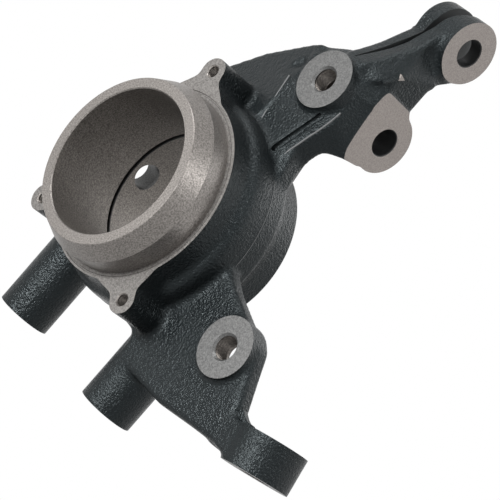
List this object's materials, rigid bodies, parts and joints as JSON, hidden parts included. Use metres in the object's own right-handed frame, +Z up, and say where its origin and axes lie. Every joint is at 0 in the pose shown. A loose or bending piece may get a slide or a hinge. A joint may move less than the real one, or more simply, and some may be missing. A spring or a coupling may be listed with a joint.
{
  "type": "steering knuckle",
  "caption": "Cast strut-type steering knuckle with a hub bearing barrel, clamp ears for the strut, caliper lugs, ball joint bosses and a steering arm.",
  "frame": {"origin": "centre of the wheel bearing bore at its outboard mouth", "axes": "+Y along the bore axis, inboard; +X rearward, towards the caliper lugs and the steering arm; +Z up, towards the strut ears"},
  "size_m": [0.2175, 0.1008, 0.2612],
  "materials": {
    "casting": "black painted sand casting with bare machined seats"
  },
  "bodies": {
    "root": {"steering_knuckle": "casting"}
  },
  "joints": []
}
